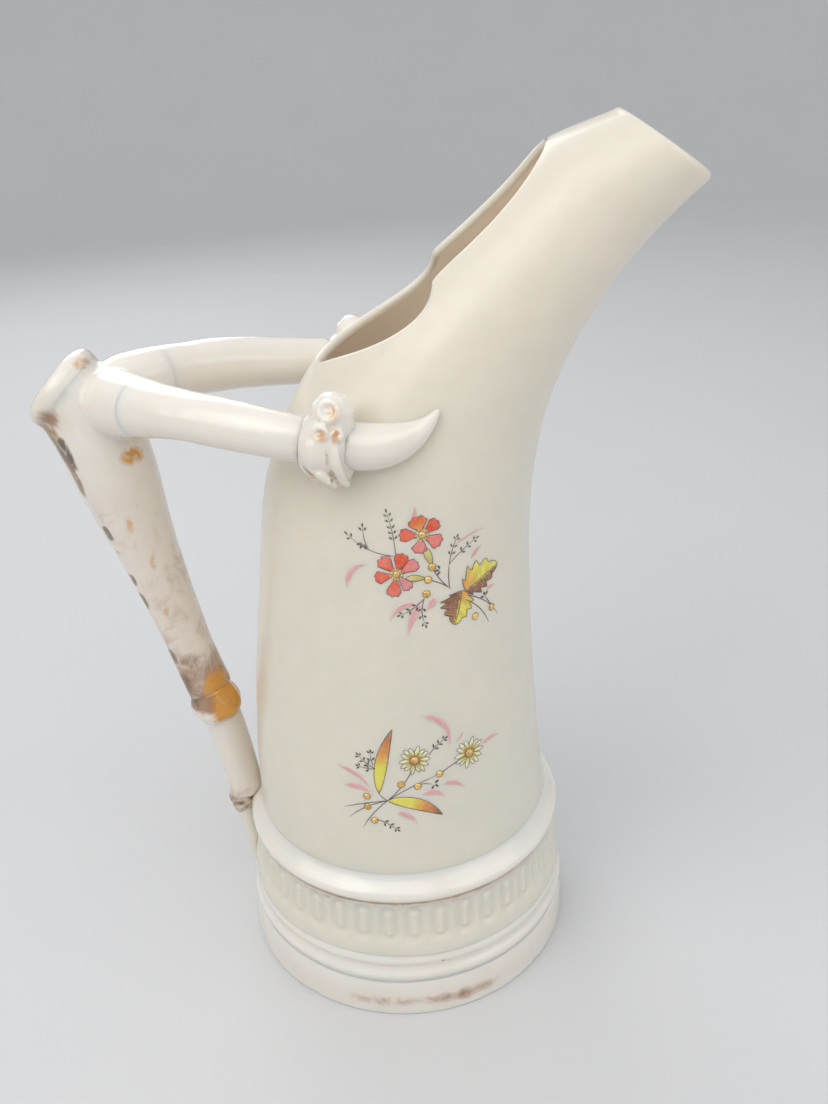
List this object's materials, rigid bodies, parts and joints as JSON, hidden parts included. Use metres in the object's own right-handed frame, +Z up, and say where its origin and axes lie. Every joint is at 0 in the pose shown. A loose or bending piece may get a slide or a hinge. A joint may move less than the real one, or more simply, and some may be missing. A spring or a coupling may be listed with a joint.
{
  "type": "cream jug",
  "caption": "Tusk-shaped porcelain cream jug with a scalloped filling opening, a closed upturned spout and a forked branch handle on a moulded round base.",
  "frame": {"origin": "centre of the foot ring, on the table", "axes": "+Z up, +X the way the spout pours; the handle is on -X"},
  "size_m": [0.1576, 0.0904, 0.2167],
  "materials": {
    "ivory_glaze": "glossy ivory glaze with faint mottling",
    "white_glaze": "glossy warm white glaze with worn gilt smudges",
    "gilt_porcelain": "glazed porcelain under rubbed gilding",
    "raised_gold": "small raised beads of burnished gold",
    "painted_enamel": "flower painting in thin overglaze enamel"
  },
  "bodies": {
    "root": {"body_shell": "ivory_glaze", "body_floor": "ivory_glaze", "shoulder_moulding": "white_glaze", "frieze_band": "ivory_glaze", "frieze_ovals": "ivory_glaze", "bead_moulding": "white_glaze", "foot_ring": "white_glaze", "handle_branch": "white_glaze", "branch_burr": "white_glaze", "right_arm": "white_glaze", "left_arm": "white_glaze", "right_collar": "gilt_porcelain", "left_collar": "gilt_porcelain", "right_horn": "white_glaze", "left_horn": "white_glaze", "branch_cuff": "gilt_porcelain", "lower_stem": "white_glaze", "stem_knuckle": "gilt_porcelain", "stem_tail": "white_glaze"}
  },
  "joints": []
}
